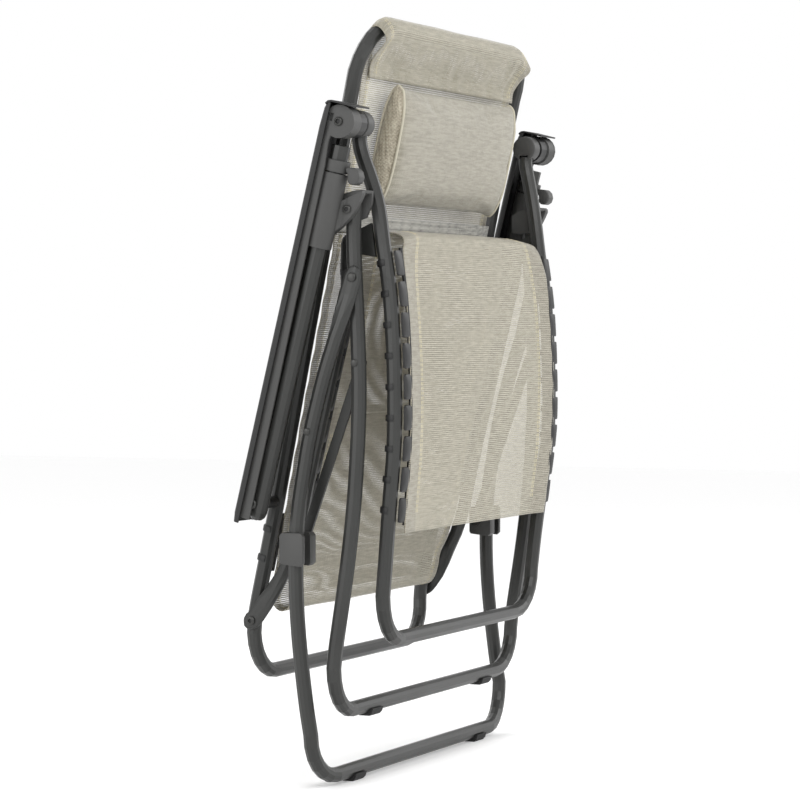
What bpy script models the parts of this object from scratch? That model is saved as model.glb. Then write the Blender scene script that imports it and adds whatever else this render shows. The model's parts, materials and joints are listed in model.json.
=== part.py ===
# Folding zero gravity recliner, folded flat and standing on its rear leg loop.
# Metres, +Z up, -Y is the side a sitter's calves face, X runs across the seat.
# The side view (Y, Z) of every frame is given for the folded chair.
import math

import bmesh
import bpy
from mathutils import Matrix, Vector

# driving dimensions
depthShift = -0.00899         # centres the folded pack on Y
liftShift = 0.0024            # stands the feet on Z 0
tubeR = 0.0097                # main frame tube
railR = 0.0090                # seat rail tube
armR = 0.0120                 # arm tube
gap = 0.0003                  # between touching pieces
sides = 12                    # facets round a tube

# half widths, tube centre to the middle of the chair
rearW = 0.310
frontW = 0.294
backW = 0.262
railW = 0.268
armW = 0.320
pressT = 0.0060               # thickness of a pressed tube end

# pivots in the side view (Y, Z)
armFrontPivot = (-0.0467, 0.8335)
armRearPivot = (0.0770, 0.3580)
hipPivot = (0.1080, 0.2050)
kneePivot = (-0.0300, 0.6850)
legPivot = (-0.0500, 0.6420)
slidePivot = (-0.0460, 0.7263)
stayPivot = (-0.0505, 0.5355)
stopRivet = (0.0075, 0.4494)
runnerPin = (0.0330, 0.3010)

collection = None
steel = plastic = dark = rivetMetal = cloth = hemCloth = None


def start():
    global collection
    for thing in list(bpy.data.objects):
        bpy.data.objects.remove(thing)
    collection = bpy.data.collections.new("zero_gravity_recliner")
    bpy.context.scene.collection.children.link(collection)


def material(name, colour, roughness, metallic):
    made = bpy.data.materials.new(name)
    made.use_nodes = True
    shader = made.node_tree.nodes["Principled BSDF"]
    shader.inputs["Base Color"].default_value = (*colour, 1)
    shader.inputs["Roughness"].default_value = roughness
    shader.inputs["Metallic"].default_value = metallic
    made.diffuse_color = (*colour, 1)
    return made


def place(p):
    return Vector((p[0], p[1] + depthShift, p[2] + liftShift))


def keep(name, bm, finish, origin=(0, 0, 0)):
    """Stores bm as an object whose origin is at origin, given in world places before the shift."""
    at = place(origin)
    bmesh.ops.translate(bm, verts=bm.verts, vec=-Vector(origin))
    bmesh.ops.recalc_face_normals(bm, faces=bm.faces)
    if bm.calc_volume(signed=True) < 0:
        bmesh.ops.reverse_faces(bm, faces=bm.faces)
    mesh = bpy.data.meshes.new(name)
    bm.to_mesh(mesh)
    bm.free()
    thing = bpy.data.objects.new(name, mesh)
    thing.location = at
    mesh.materials.append(finish)
    mesh.shade_smooth()
    mesh.set_sharp_from_angle(angle=math.radians(40))
    collection.objects.link(thing)
    return thing


def smoothPath(points, steps):
    """Catmull-Rom curve through the points."""
    pts = [Vector(p) for p in points]
    pts = [2 * pts[0] - pts[1]] + pts + [2 * pts[-1] - pts[-2]]
    path = []
    for i in range(1, len(pts) - 2):
        a, b, c, d = pts[i - 1:i + 3]
        for k in range(steps):
            t = k / steps
            path.append(0.5 * ((2 * b) + (c - a) * t + (2 * a - 5 * b + 4 * c - d) * t * t
                               + (3 * b - a - 3 * c + d) * t ** 3))
    path.append(pts[-2])
    return path


def loft(path, radii, across=(1, 0, 0)):
    """A closed tube along path. radii holds (half size along across, half size square to it) for each
    point."""
    bm = bmesh.new()
    n = len(path)
    side = Vector(across).normalized()
    rings = []
    for i, p in enumerate(path):
        ahead = (path[min(i + 1, n - 1)] - path[max(i - 1, 0)]).normalized()
        side = (side - ahead * side.dot(ahead)).normalized()
        up = ahead.cross(side)
        rs, ru = radii[i]
        rings.append([bm.verts.new(p + side * rs * math.cos(2 * math.pi * (k + 0.5) / sides)
                                   + up * ru * math.sin(2 * math.pi * (k + 0.5) / sides))
                      for k in range(sides)])
    for a, b in zip(rings[:-1], rings[1:]):
        for k in range(sides):
            bm.faces.new((a[k], a[(k + 1) % sides], b[(k + 1) % sides], b[k]))
    bm.faces.new(rings[0][::-1])
    bm.faces.new(rings[-1])
    return bm


def loopPath(side, bar, steps=3, cornerSteps=6):
    """A U-shaped tube route: left top, down the side, round the corner, along the bar and back up."""
    left = [Vector((-p.x, p.y, p.z)) for p in smoothPath(side, steps)]
    last = left[-1]
    drop = last.z - bar[1]
    for k in range(1, cornerSteps + 1):
        t = math.pi / 2 * k / cornerSteps
        left.append(Vector((last.x + drop * (1 - math.cos(t)),
                            last.y + (bar[0] - last.y) * (1 - math.cos(t)),
                            last.z - drop * math.sin(t))))
    right = [Vector((-p.x, p.y, p.z)) for p in reversed(left)]
    return left + right


def pressEnds(path, r, length, wide):
    """Section sizes for a tube whose two ends are pressed flat over a length and rounded off."""
    run = [0.0]
    for a, b in zip(path[:-1], path[1:]):
        run.append(run[-1] + (b - a).length)
    radii = []
    for s in run:
        d = min(s, run[-1] - s)
        if d > length:
            radii.append((r, r))
            continue
        flat = 1 - max(0.0, (d - 0.45 * length) / (0.55 * length))
        flat = flat * flat * (3 - 2 * flat)
        half = r + (wide - r) * flat
        if d < half:
            half = max(0.35 * half, math.sqrt(max(0.0, half * half - (half - d) ** 2)))
        radii.append((r + (pressT / 2 - r) * flat, half))
    return radii


def endStations(path, distances):
    """Adds points near both ends of a path, where a pressed end rounds off."""
    for _ in range(2):
        a, b = path[0], path[1]
        extra = [a + (b - a).normalized() * d for d in distances if d < (b - a).length * 0.9]
        path = ([a] + extra + path[1:])[::-1]
    return path


def cylinder(p, axis, r, length, segments=16, r2=None):
    """A closed cylinder centred on p with its length along axis."""
    bm = bmesh.new()
    turn = Vector((0, 0, 1)).rotation_difference(Vector(axis).normalized()).to_matrix().to_4x4()
    bmesh.ops.create_cone(bm, cap_ends=True, segments=segments, radius1=r, radius2=r if r2 is None else r2,
                          depth=length, matrix=Matrix.Translation(Vector(p)) @ turn)
    return bm


def turned(profile, p, axis, segments=16):
    """A turned solid: profile holds (distance along axis, radius), from one closed end to the other."""
    bm = bmesh.new()
    turn = Vector((0, 0, 1)).rotation_difference(Vector(axis).normalized()).to_matrix()
    rings = []
    for along, r in profile:
        rings.append([bm.verts.new(Vector(p) + turn @ Vector((r * math.cos(2 * math.pi * k / segments),
                                                             r * math.sin(2 * math.pi * k / segments),
                                                             along))) for k in range(segments)])
    for a, b in zip(rings[:-1], rings[1:]):
        for k in range(segments):
            bm.faces.new((a[k], a[(k + 1) % segments], b[(k + 1) % segments], b[k]))
    bm.faces.new(rings[0][::-1])
    bm.faces.new(rings[-1])
    return bm


def slab(outline, x0, x1):
    """A plate whose outline is in the side view, from x0 to x1."""
    bm = bmesh.new()
    low = [bm.verts.new((x0, y, z)) for y, z in outline]
    high = [bm.verts.new((x1, y, z)) for y, z in outline]
    bm.faces.new(low)
    bm.faces.new(high[::-1])
    n = len(outline)
    for k in range(n):
        bm.faces.new((low[k], high[k], high[(k + 1) % n], low[(k + 1) % n]))
    return bm


def cut(target, cutter):
    """Takes the cutter's shape out of the target and clears it away."""
    op = target.modifiers.new("cut", "BOOLEAN")
    op.operation = "DIFFERENCE"
    op.object = cutter
    bpy.context.view_layer.update()
    done = bpy.data.meshes.new_from_object(target.evaluated_get(bpy.context.evaluated_depsgraph_get()))
    target.modifiers.clear()
    target.data = done
    bpy.data.objects.remove(cutter)


def merge(target, other):
    """Joins other into the target as one solid."""
    op = target.modifiers.new("join", "BOOLEAN")
    op.operation = "UNION"
    op.object = other
    bpy.context.view_layer.update()
    done = bpy.data.meshes.new_from_object(target.evaluated_get(bpy.context.evaluated_depsgraph_get()))
    target.modifiers.clear()
    target.data = done
    bpy.data.objects.remove(other)


def arc(centre, r, a0, a1, n):
    """Points on an arc in the side view, angles in degrees from +Y towards +Z."""
    return [(centre[0] + r * math.cos(math.radians(a0 + (a1 - a0) * k / n)),
             centre[1] + r * math.sin(math.radians(a0 + (a1 - a0) * k / n))) for k in range(n + 1)]


# ---- frames ----

# routes of the side tubes, as (half width, Y, Z) from the top down
rearSide = [(0.310, -0.0553, 0.6545), (0.310, -0.0500, 0.642), (0.310, -0.028, 0.568),
            (0.310, -0.012, 0.520), (0.310, 0.005, 0.456), (0.310, 0.015, 0.406), (0.310, 0.0255, 0.336),
            (0.310, 0.0275, 0.262), (0.310, 0.0235, 0.190), (0.310, 0.0140, 0.110), (0.310, 0.0070, 0.068)]
frontSide = [(0.294, -0.0462, 0.7330), (0.294, -0.0455, 0.681), (0.294, -0.0510, 0.568),
             (0.294, -0.0525, 0.480), (0.294, -0.0465, 0.370), (0.294, -0.0360, 0.278),
             (0.294, -0.0215, 0.185), (0.294, -0.0175, 0.151)]
restSide = [(0.2780, -0.0467, 0.8215), (0.2780, -0.0462, 0.812), (0.2770, -0.0500, 0.794),
            (0.2700, -0.059, 0.762), (0.2650, -0.066, 0.730), (0.264, -0.0725, 0.682),
            (0.264, -0.082, 0.616), (0.264, -0.087, 0.530), (0.2635, -0.087, 0.438), (0.2590, -0.0785, 0.358),
            (0.2540, -0.0710, 0.290), (0.2520, -0.0660, 0.240)]
railSide = [(0.268, -0.0300, 0.6965), (0.268, -0.0300, 0.6850), (0.268, -0.0292, 0.655),
            (0.268, -0.0235, 0.610), (0.268, -0.0095, 0.552), (0.268, 0.0125, 0.462), (0.268, 0.0330, 0.376),
            (0.268, 0.0440, 0.325), (0.268, 0.0570, 0.285), (0.268, 0.0780, 0.245), (0.268, 0.1000, 0.2130),
            (0.268, 0.1080, 0.2050), (0.268, 0.1162, 0.1968)]
backSide = [(0.264, -0.0335, 0.902), (0.262, -0.0150, 0.815), (0.262, 0.0160, 0.660), (0.262, 0.0490, 0.500),
            (0.262, 0.0775, 0.358), (0.262, 0.0985, 0.262), (0.262, 0.1085, 0.215), (0.262, 0.1110, 0.188)]


def at(line, z):
    """Half width and Y of a side route at height z."""
    pts = sorted(line, key=lambda p: p[2])
    for a, b in zip(pts[:-1], pts[1:]):
        if a[2] <= z <= b[2]:
            t = (z - a[2]) / (b[2] - a[2])
            return a[0] + (b[0] - a[0]) * t, a[1] + (b[1] - a[1]) * t
    end = pts[0] if z < pts[0][2] else pts[-1]
    return end[0], end[1]


def rearLegs():
    path = loopPath(rearSide, (0.0, 0.0107))
    path = endStations(path, (0.003, 0.007))
    radii = pressEnds(path, tubeR, 0.095, 0.0125)
    # the pressed ends sit a little towards the middle of the chair
    for p, (thin, _) in zip(path, radii):
        p.x -= math.copysign(0.0025 * (tubeR - thin) / (tubeR - pressT / 2), p.x)
    keep("rear_leg_frame", loft(path, radii), steel)


def frontLegs():
    path = loopPath(frontSide, (-0.0155, 0.0936))
    keep("front_leg_frame", loft(path, [(tubeR, tubeR)] * len(path)), steel)


def legRest():
    path = loopPath(restSide, (-0.0625, 0.1820))
    keep("leg_rest_frame", loft(path, [(tubeR, tubeR)] * len(path)), steel)


def backFrame():
    """A closed hoop: both cross tubes and both sides in one piece."""
    top, low = (-0.0530, 0.9615), (0.1085, 0.1350)
    left = [Vector((-p.x, p.y, p.z)) for p in smoothPath(backSide, 2)]
    for end, (y, z), order in ((left[0], top, 1), (left[-1], low, -1)):
        reach = abs(z - end.z)
        turn = []
        for k in range(1, 7):
            t = math.pi / 2 * k / 6
            turn.append(Vector((end.x + reach * (1 - math.cos(t)), end.y + (y - end.y) * math.sin(t),
                                end.z + (z - end.z) * math.sin(t))))
        left = turn[::-1] + left if order == 1 else left + turn
    hoop = left + [Vector((-p.x, p.y, p.z)) for p in reversed(left)]
    bm = bmesh.new()
    n = len(hoop)
    rings = []
    for i, p in enumerate(hoop):
        ahead = (hoop[(i + 1) % n] - hoop[(i - 1) % n]).normalized()
        out = Vector((p.x, 0, p.z - 0.55))
        side = (out - ahead * out.dot(ahead)).normalized()
        up = ahead.cross(side)
        rings.append([bm.verts.new(p + side * tubeR * math.cos(2 * math.pi * (k + 0.5) / sides)
                                   + up * tubeR * math.sin(2 * math.pi * (k + 0.5) / sides))
                      for k in range(sides)])
    for i in range(n):
        a, b = rings[i], rings[(i + 1) % n]
        for k in range(sides):
            bm.faces.new((a[k], a[(k + 1) % sides], b[(k + 1) % sides], b[k]))
    keep("back_frame", bm, steel)


def seatRails():
    for word, s in (("left", -1), ("right", 1)):
        run = smoothPath([(s * w, y, z) for w, y, z in railSide], 2)
        run = endStations(run, (0.003, 0.007))
        radii = pressEnds(run, railR, 0.085, 0.0118)
        for p, (thin, _) in zip(run, radii):
            p.x += s * (0.2747 - railW) * (railR - thin) / (railR - pressT / 2)
        keep(f"seat_rail_{word}", loft(run, radii), steel)


def restHubs():
    """Barrel at the top of each leg rest tube, which turns beside the arm's front end."""
    y, z = armFrontPivot
    for word, s in (("left", -1), ("right", 1)):
        profile = [(-0.0100, 0.0150), (-0.0090, 0.0170), (-0.004, 0.0175), (0.0090, 0.0175), (0.0100, 0.0165)]
        if s < 0:
            profile = [(-a, r) for a, r in reversed(profile)]
        hub = keep(f"leg_rest_hub_{word}", turned(profile, (s * 0.2793, y, z), (1, 0, 0), 24), plastic,
                   (s * 0.2793, y, z))
        top = Vector((s * 0.2780, -0.0467, 0.8238))
        cut(hub, keep("socket", cylinder(top - Vector((0, 0, 0.02)), (0, 0, 1), tubeR + 0.0010, 0.04, 24),
                      plastic))


def kneePlates():
    """Lug behind each side tube of the leg rest, which carries the seat rail's front end."""
    for word, s in (("left", -1), ("right", 1)):
        y, z = kneePivot
        outline = [(at(restSide, h)[1] + tubeR + 0.0003, h) for h in (0.668, 0.684, 0.698, 0.7105)]
        outline += arc((y, z), 0.0115, 75, -75, 6)
        x0, x1 = sorted((s * 0.2660, s * 0.2710))
        keep(f"knee_lug_{word}", slab(outline, x0, x1), steel)


# ---- arms ----

armTop, armLow = (-0.0430, 0.8130), (0.0760, 0.3470)
armDir = Vector((0, armLow[0] - armTop[0], armLow[1] - armTop[1])).normalized()
armBack = Vector((0, -armDir.z, armDir.y))      # square to the arm, towards its padded side


def onArm(along, back):
    """Side view place of a point along the arm tube and behind its axis."""
    p = Vector((0, armTop[0], armTop[1])) + armDir * along + armBack * back
    return (p.y, p.z)


def arms():
    for word, s in (("left", -1), ("right", 1)):
        a = Vector((s * armW, *onArm(0.0085, 0)))
        b = Vector((s * armW, *onArm(0.4800, 0)))
        path = [a.lerp(b, k / 4) for k in range(5)]
        path += [b + armDir * 0.006, b + armDir * 0.010]
        radii = [(armR, armR)] * 5 + [(armR * 0.86, armR * 0.86), (armR * 0.55, armR * 0.55)]
        keep(f"arm_tube_{word}", loft(path, radii), steel)

        # moulded armrest: a channel over the tube, closed at its front end
        wide, wall, middle = 0.0270, 0.0026, 0.3175
        bm = bmesh.new()
        rings = []
        for run, top, skirt in ((-0.0410, 0.0225, 0.0160), (-0.0330, 0.0250, 0.0162), (-0.0100, 0.0262, 0.0162),
                                (0.06, 0.0265, 0.0160),
                                (0.28, 0.0250, 0.0150), (0.485, 0.0222, 0.0125), (0.497, 0.0205, 0.0125)):
            section = [(-wide, skirt), (-wide, top - 0.004), (-wide + 0.002, top - 0.0015),
                       (-wide + 0.006, top), (wide - 0.006, top), (wide - 0.002, top - 0.0015),
                       (wide, top - 0.004), (wide, skirt), (wide - wall, skirt),
                       (wide - wall, top - 0.0042), (wide - 0.0040, top - wall), (-wide + 0.007, top - wall),
                       (-wide + wall, top - 0.0050), (-wide + wall, skirt)]
            rings.append([bm.verts.new((s * (middle + across), *onArm(run, back))) for across, back in section])
        n = len(rings[0])
        for p, q in zip(rings[:-1], rings[1:]):
            for k in range(n):
                bm.faces.new((p[k], p[(k + 1) % n], q[(k + 1) % n], q[k]))
        bm.faces.new(rings[0][::-1])
        bm.faces.new(rings[-1])
        cover = keep(f"arm_cover_{word}", bm, plastic)
        lid = [(-0.0445, -0.0120), (-0.0445, 0.0160), (-0.0430, 0.0205), (-0.0395, 0.0235), (-0.0375, 0.0222),
               (-0.0412, 0.0192), (-0.0423, 0.0150), (-0.0423, -0.0120)]
        x0, x1 = sorted((s * (middle - wide), s * (middle + wide)))
        merge(cover, keep("lid", slab([onArm(*p) for p in lid], x0, x1), plastic))

        # side trim: a round end with the pivot bolt and a band along the arm
        y, z = armFrontPivot
        r = 0.0208
        band = [(-0.0208 + r * math.cos(math.radians(t)), 0.0015 + r * math.sin(math.radians(t)))
                for t in range(80, 381, 20)]
        band += [(0.0050, 0.0098), (0.0350, 0.0070), (0.1000, 0.0050), (0.4900, 0.0005), (0.4900, 0.0150),
                 (0.2800, 0.0185), (0.0600, 0.0200), (0.0000, 0.0208)]
        x0, x1 = sorted((s * 0.3370, s * 0.3398))
        trim = keep(f"arm_trim_{word}", slab([onArm(*p) for p in band], x0, x1), plastic,
                    (s * 0.326, y, z))
        merge(trim, keep("boss", cylinder((s * 0.3274, y, z), (1, 0, 0), r - 0.0004, 0.0214, 24), plastic))
        x0, x1 = sorted((s * 0.3360, s * 0.3410))
        window = [onArm(-0.0290, 0.0105), onArm(-0.0190, 0.0105), onArm(-0.0190, 0.0175), onArm(-0.0290, 0.0175)]
        cut(trim, keep("window", slab(window, x0, x1), plastic))
        hub = [(-0.0122, 0.0135), (-0.0118, 0.0144), (-0.0092, 0.0144), (-0.0088, 0.0180), (0.0120, 0.0185),
               (0.0125, 0.0178)]
        if s < 0:
            hub = [(-a, e) for a, e in reversed(hub)]
        keep(f"arm_front_spacer_{word}", turned(hub, (s * 0.3032, y, z), (1, 0, 0), 20), plastic,
             (s * 0.303, y, z))
        bolt = [(0, 0.0045), (0.0012, 0.0052), (0.0026, 0.0052), (0.0032, 0.0040)]
        if s < 0:
            bolt = [(-a, e) for a, e in reversed(bolt)]
        keep(f"arm_front_bolt_{word}", turned(bolt, (s * 0.3401, y, z), (1, 0, 0)), rivetMetal,
             (s * 0.3401, y, z))

        # spacer between the arm's rear end and the back frame
        y, z = armRearPivot
        inner = backW + tubeR + gap
        outer = armW - armR - gap
        keep(f"arm_rear_spacer_{word}",
             cylinder((s * (inner + outer) / 2, y, z), (1, 0, 0), 0.0075, outer - inner), dark,
             (s * inner, y, z))
        keep(f"arm_rear_bolt_{word}",
             cylinder((s * (armW + armR + 0.0020), y, z), (1, 0, 0), 0.0058, 0.0030), rivetMetal,
             (s * armW, y, z))


# ---- slider, clamp lever ----

def sliders():
    y, z = slidePivot
    for word, s in (("left", -1), ("right", 1)):
        # sleeve on the arm tube, with a curved side plate and a hood over the front leg's end
        a, b = Vector((s * armW, *onArm(0.0430, 0))), Vector((s * armW, *onArm(0.1377, 0)))
        body = keep(f"slide_bracket_{word}", cylinder((a + b) / 2, armDir, 0.0165, (b - a).length, 28), plastic,
                    (s * 0.3045, y, z))

        def add(outline, x0, x1):
            merge(body, keep("piece", slab(outline, *sorted((s * x0, s * x1))), plastic))

        plate = [(0.0883, 0.0050), (0.0566, -0.0383), (0.0610, -0.0396), (0.0693, -0.0380), (0.0812, -0.0350),
                 (0.0933, -0.0301), (0.1070, -0.0210), (0.1203, -0.0101), (0.1377, 0.0050)]
        add([onArm(*p) for p in plate], 0.3045, 0.3140)
        # fairing from the sleeve's outer line down to the plate
        bm = bmesh.new()
        rise = [(0.0853, -0.0015, 0.3364), (0.1320, -0.0015, 0.3364), (0.1080, -0.0200, 0.3139),
                (0.0715, -0.0200, 0.3139)]
        for level in (0, 1):
            for run, back, x in rise:
                bm.verts.new((s * (x if level else 0.3080), *onArm(run, back)))
        bm.verts.ensure_lookup_table()
        corners = list(bm.verts)
        bm.faces.new(corners[:4])
        bm.faces.new(corners[7:3:-1])
        for k in range(4):
            bm.faces.new((corners[k], corners[k + 4], corners[(k + 1) % 4 + 4], corners[(k + 1) % 4]))
        merge(body, keep("fairing", bm, plastic))
        roof = [(-0.0250, 0.7390), (-0.0400, 0.7460), (-0.0560, 0.7500), (-0.0661, 0.7500)]
        hood = roof + [(-0.0655, 0.7465), (-0.0560, 0.7435), (-0.0440, 0.7410), (-0.0325, 0.7365),
                       (-0.0315, 0.7180), (-0.0250, 0.7150)]
        add(hood, 0.2781, 0.3100)
        cheek = roof + [(-0.0650, 0.7340), (-0.0570, 0.7165), (-0.0460, 0.7128), (-0.0330, 0.7128),
                        (-0.0250, 0.7150)]
        add(cheek, 0.2781, 0.2839)
        bore = (Vector((s * armW, *onArm(0.02, 0))), Vector((s * armW, *onArm(0.17, 0))))
        cut(body, keep("bore", cylinder((bore[0] + bore[1]) / 2, armDir, armR + 0.0005,
                                        (bore[1] - bore[0]).length, 24), plastic))
        keep(f"slide_bolt_{word}",
             cylinder((s * 0.3160, y, z), (1, 0, 0), 0.0050, 0.0026), rivetMetal, (s * 0.3160, y, z))

        # clamp: a ring round the arm tube and a hooked thumb lever hinged in front of it
        c = onArm(0.034, 0)
        ring = turned([(-0.0075, 0.0124), (-0.0075, 0.0162), (0.0075, 0.0162), (0.0075, 0.0124)],
                      (s * armW, *c), armDir, 20)
        bmesh.ops.delete(ring, geom=[f for f in ring.faces if len(f.verts) > 4], context="FACES_ONLY")
        bmesh.ops.bridge_loops(ring, edges=[e for e in ring.edges if e.is_boundary])
        keep(f"clamp_ring_{word}", ring, plastic, (s * armW, *c))
        pin = onArm(0.0350, -0.0212)
        hook = arc(pin, 0.0046, 60, -60, 5)
        hook += [onArm(0.0440, -0.0215), onArm(0.0490, -0.0225), onArm(0.0520, -0.0265), onArm(0.0515, -0.0320),
                 onArm(0.0470, -0.0365), onArm(0.0400, -0.0372), onArm(0.0340, -0.0340), onArm(0.0305, -0.0285)]
        x0, x1 = sorted((s * 0.3110, s * 0.3290))
        keep(f"clamp_lever_{word}", slab(hook, x0, x1), plastic, (s * armW, *pin))


# ---- stays, runners, rivets, feet ----

def staysAndRunners():
    for word, s in (("left", -1), ("right", 1)):
        a, b = Vector((0, *stayPivot)), Vector((0, *runnerPin))
        ahead = (b - a).normalized()
        square = Vector((0, -ahead.z, ahead.y))
        outline = []
        for end, along, turn in ((a, -1, 1), (b, 1, -1)):
            for k in range(7):
                t = -math.pi / 2 + math.pi * k / 6
                p = end + ahead * along * 0.0062 * math.cos(t) + square * turn * 0.0062 * math.sin(t)
                outline.append((p.y, p.z))
        outline = outline[::-1]
        x0, x1 = sorted((s * 0.2790, s * 0.2832))
        keep(f"stay_{word}", slab(outline, x0, x1), steel, (s * 0.2811, *stayPivot))

        # runner: a moulded collar that slides on the rear leg's side tube, slit in front so that it
        # can follow the tube's bend
        legAt = Vector((s * rearW, 0.0268, 0.301))
        y0, y1 = legAt.y - 0.0155, legAt.y + 0.0170
        x0, x1 = sorted((s * 0.2860, s * 0.3245))
        z0, z1 = 0.2800, 0.3220
        outline = [(y0, z0 + 0.004), (y0 + 0.004, z0), (y1 - 0.002, z0 + 0.003), (y1, z0 + 0.006),
                   (y1, z1 - 0.004), (y1 - 0.003, z1), (y0 + 0.003, z1), (y0, z1 - 0.004)]
        body = keep(f"runner_{word}", slab(outline[::-1], x0, x1), plastic, (s * 0.286, *runnerPin))
        slotEnds = arc((legAt.y + 0.0030, 0), 0.0107, -90, 90, 8)
        slotEnds += arc((legAt.y - 0.0080, 0), 0.0107, 90, 270, 8)
        bm = bmesh.new()
        low = [bm.verts.new((legAt.x + e, q, 0.27)) for q, e in slotEnds]
        high = [bm.verts.new((legAt.x + e, q, 0.33)) for q, e in slotEnds]
        bm.faces.new(low[::-1])
        bm.faces.new(high)
        for k in range(len(low)):
            j = (k + 1) % len(low)
            bm.faces.new((low[k], low[j], high[j], high[k]))
        cut(body, keep("bore", bm, plastic))


def rivets():
    for word, s in (("left", -1), ("right", 1)):
        def head(name, spot, x, size=0.0058, tall=0.0024):
            profile = [(0, size), (tall * 0.5, size * 0.94), (tall, size * 0.55)]
            if s < 0:
                profile = [(-a, r) for a, r in reversed(profile)]
            keep(f"{name}_{word}", turned(profile, (s * x, *spot), (1, 0, 0), 14), rivetMetal,
                 (s * x, *spot))
        head("leg_pivot_rivet", legPivot, 0.3075 + pressT / 2 + gap)
        head("stay_rivet", stayPivot, frontW + tubeR + 0.0001, 0.0045)
        head("stop_rivet", stopRivet, rearW + tubeR + 0.0001, 0.0045)
        head("hip_rivet", hipPivot, 0.2747 + pressT / 2 + gap)


def feet():
    """Clips under the cross tubes, with a flat base to stand on."""
    for which, bar, w in (("rear", (0.0, 0.0107), 0.200), ("front", (-0.0155, 0.0936), 0.183)):
        for word, s in (("left", -1), ("right", 1)):
            base = bar[1] - tubeR - 0.0034
            outer = [(bar[0] - 0.0124, bar[1] - 0.0035), (bar[0] - 0.0105, base + 0.0035), (bar[0] - 0.0070, base),
                     (bar[0] + 0.0070, base), (bar[0] + 0.0105, base + 0.0035), (bar[0] + 0.0124, bar[1] - 0.0035)]
            inner = arc(bar, tubeR + gap, 340, 200, 8)
            x0, x1 = sorted((s * (w - 0.016), s * (w + 0.016)))
            keep(f"{which}_foot_{word}", slab((outer + inner)[::-1], x0, x1), dark)


# ---- fabric, clips, pillow ----

def panel(name, stations, thick, finish, columns=4):
    """A thin closed sheet: stations hold (Y, Z, half width, bow) from one end to the other."""
    bm = bmesh.new()
    sheets = []
    pts = [Vector((0, y, z)) for y, z, _, _ in stations]
    for sign in (-1, 1):
        rows = []
        for i, (y, z, half, bow) in enumerate(stations):
            ahead = (pts[min(i + 1, len(pts) - 1)] - pts[max(i - 1, 0)]).normalized()
            out = Vector((0, -ahead.z, ahead.y))
            row = []
            for k in range(columns + 1):
                u = -1 + 2 * k / columns
                p = pts[i] + out * (sign * thick / 2) + Vector((half * u, bow * (1 - u * u), 0))
                row.append(bm.verts.new(p))
            rows.append(row)
        sheets.append(rows)
    low, high = sheets
    rows, cols = len(stations), columns + 1
    for i in range(rows - 1):
        for k in range(cols - 1):
            bm.faces.new((low[i][k], low[i][k + 1], low[i + 1][k + 1], low[i + 1][k]))
            bm.faces.new((high[i][k], high[i + 1][k], high[i + 1][k + 1], high[i][k + 1]))
    rim = [(0, k) for k in range(cols)] + [(i, cols - 1) for i in range(1, rows)]
    rim += [(rows - 1, k) for k in range(cols - 2, -1, -1)] + [(i, 0) for i in range(rows - 2, 0, -1)]
    for (i, k), (j, m) in zip(rim, rim[1:] + rim[:1]):
        bm.faces.new((low[i][k], high[i][k], high[j][m], low[j][m]))
    return keep(name, bm, finish)


def fabric():
    calf = []
    for z in (0.690, 0.66, 0.60, 0.50, 0.42, 0.36, 0.322):
        w, y = at(restSide, z)
        calf.append((y - 0.0110, z, w - 0.0195, 0.0))
    panel("calf_fabric", calf, 0.0030, cloth)
    seat = [(at(railSide, z)[1] + 0.001, z, 0.2440, 0.0) for z in (0.683, 0.64, 0.56, 0.46, 0.36)]
    seat += [(0.0560, 0.290, 0.2400, 0.0), (0.0735, 0.2450, 0.2320, 0.0), (0.0835, 0.2190, 0.2300, 0.0)]
    panel("seat_fabric", seat, 0.0030, cloth)
    back = [(at(backSide, 0.240)[1] - 0.006, 0.240, 0.2000, 0.0)]
    back += [(at(backSide, z)[1] - 0.004, z, w, 0.0) for z, w in
             ((0.29, 0.222), (0.36, 0.232), (0.46, 0.234), (0.56, 0.234), (0.66, 0.236), (0.76, 0.240),
              (0.86, 0.2430), (0.91, 0.2400), (0.945, 0.2200))]
    panel("back_fabric", back, 0.0030, cloth)


def comb(name, line, z0, z1, clear, edge, s, start, ahead=0.0):
    """Fabric edge rod with one clip per pitch. The rod runs edge inside the side route and ahead in
    front of it, and the clips reach from it to clear inside the route, just beside the tube."""
    pitch, tooth, deep = 0.0405, 0.032, 0.0026
    offsets = (edge, edge - 0.0040, clear)
    levels, toothed = [z0], []
    z = z0 + start
    while z + tooth < z1:
        if z > levels[-1]:
            levels.append(z)
        toothed.append(len(levels) - 1)
        levels.append(z + tooth)
        z += pitch
    levels.append(z1)
    cells = [(0, i) for i in range(len(levels) - 1)] + [(1, i) for i in toothed]
    bm = bmesh.new()
    made = {}

    def corner(col, row, sign):
        if (col, row, sign) not in made:
            w, y = at(line, levels[row])
            made[col, row, sign] = bm.verts.new((s * (w - offsets[col]), y - ahead + sign * deep, levels[row]))
        return made[col, row, sign]

    edges = {}
    for c, r in cells:
        ring = ((c, r), (c + 1, r), (c + 1, r + 1), (c, r + 1))
        bm.faces.new([corner(*k, -1) for k in ring])
        bm.faces.new([corner(*k, 1) for k in reversed(ring)])
        for a, b in zip(ring, ring[1:] + ring[:1]):
            edges.setdefault(frozenset((a, b)), []).append((a, b))
    for found in edges.values():
        if len(found) == 1:
            a, b = found[0]
            bm.faces.new((corner(*b, -1), corner(*a, -1), corner(*a, 1), corner(*b, 1)))
    keep(name, bm, dark)


def clips():
    for word, s in (("left", -1), ("right", 1)):
        comb(f"calf_clips_{word}", restSide, 0.326, 0.684, 0.0060, 0.0190, s, 0.004, 0.0128)
        comb(f"seat_clips_{word}", railSide, 0.345, 0.672, railR + 0.0005, 0.0233, s, 0.004)
        comb(f"back_clips_{word}", backSide, 0.262, 0.345, tubeR + 0.0005, 0.0273, s, 0.002)


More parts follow.
